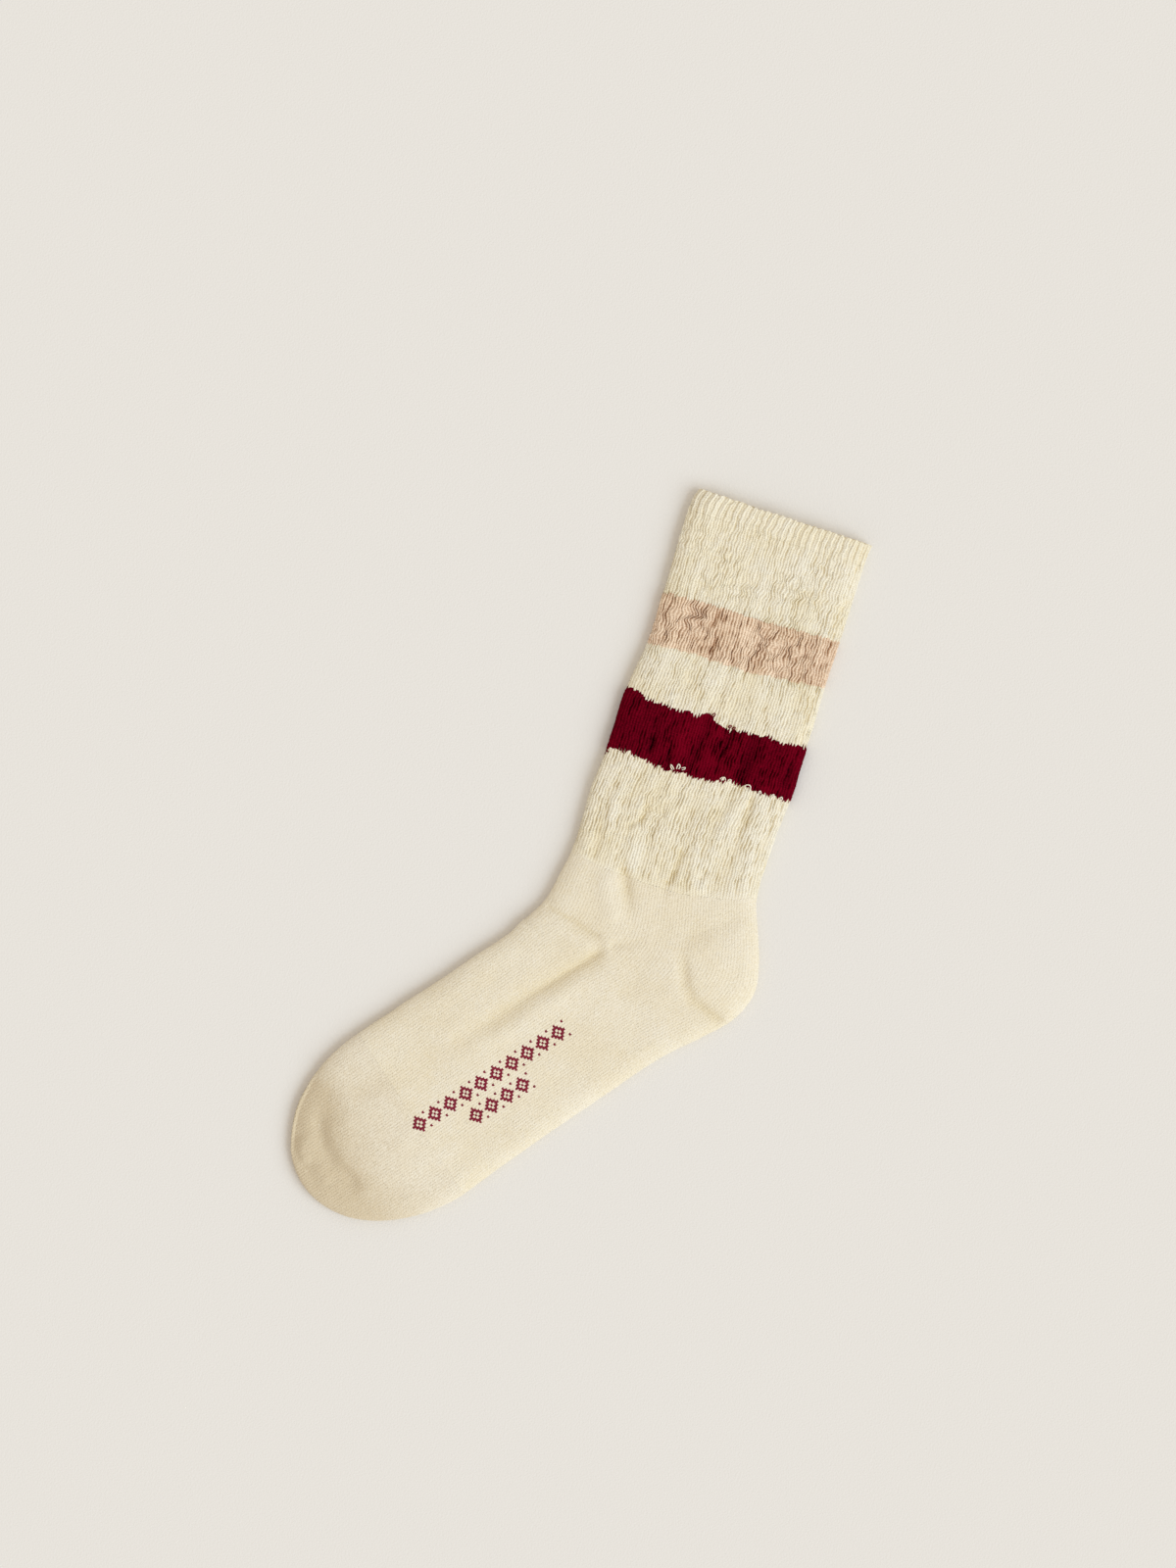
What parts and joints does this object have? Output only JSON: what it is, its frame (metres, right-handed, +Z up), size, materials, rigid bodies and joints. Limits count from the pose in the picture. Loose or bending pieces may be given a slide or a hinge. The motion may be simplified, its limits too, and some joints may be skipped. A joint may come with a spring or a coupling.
{
  "type": "distressed crew sock",
  "caption": "Thick cotton crew sock laid flat on its side, ribbed crinkled leg with stripes, plain knit foot with a pocket heel and a rounded toe.",
  "frame": {"origin": "middle of the footprint, on the surface that the sock lies on", "axes": "+Y up the leg to the cuff, +X from the front fold to the heel, +Z up from the surface"},
  "size_m": [0.1839, 0.3715, 0.0083],
  "materials": {
    "cream_rib": "ribbed cotton knit, matt, crinkled",
    "tan_rib": "ribbed cotton knit, matt, crinkled",
    "burgundy_rib": "ribbed cotton knit, matt",
    "cream_plain": "plain cotton knit, matt, slightly fuzzy"
  },
  "bodies": {
    "root": {"cuff_welt": "cream_rib", "rib_upper": "cream_rib", "stripe_tan": "tan_rib", "rib_middle": "cream_rib", "stripe_burgundy": "burgundy_rib", "rib_lower": "cream_rib", "foot": "cream_plain", "heel": "cream_plain", "toe": "cream_plain"}
  },
  "joints": []
}
